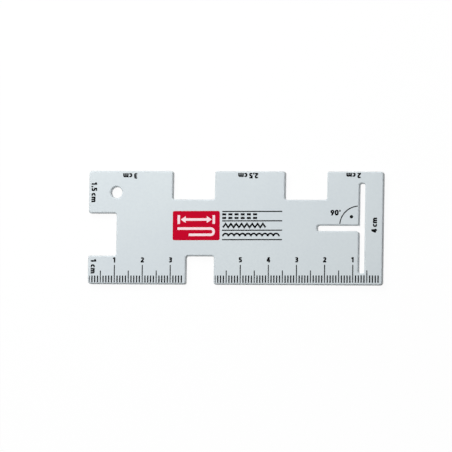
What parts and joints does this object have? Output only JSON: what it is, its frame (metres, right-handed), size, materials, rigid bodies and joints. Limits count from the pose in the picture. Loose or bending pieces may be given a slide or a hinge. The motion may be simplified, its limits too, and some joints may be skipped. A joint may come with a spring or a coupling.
{
  "type": "sewing gauge",
  "caption": "Flat stepped plate for measuring seam and hem widths, with edge scales, width marks, a T-shaped marking slot and a hanging hole.",
  "frame": {"origin": "middle of the plate's back face, as it lies flat", "axes": "+X along the plate, from its hanging hole to its marking slots; +Y from the scales to the tabs; +Z out of the printed face"},
  "size_m": [0.105, 0.04, 0.003],
  "materials": {
    "plate_plastic": "moulded, fine matt",
    "black_ink": "printed ink, satin",
    "red_ink": "printed ink, satin",
    "white_ink": "printed ink, satin"
  },
  "bodies": {
    "root": {"gauge_plate": "plate_plastic", "left_scale_lines": "black_ink", "left_scale_figures": "black_ink", "right_scale_lines": "black_ink", "right_scale_figures": "black_ink", "mark_3_cm": "black_ink", "mark_2_5_cm": "black_ink", "mark_2_cm": "black_ink", "mark_1_5_cm": "black_ink", "mark_1_cm": "black_ink", "mark_4_cm": "black_ink", "right_angle_arc": "black_ink", "right_angle_dot": "black_ink", "right_angle_figure": "black_ink", "red_panel": "red_ink", "panel_pictogram": "white_ink", "rule_lines": "black_ink", "running_stitch_row": "black_ink", "zigzag_stitch_row": "black_ink", "scallop_stitch_row": "black_ink"}
  },
  "joints": []
}
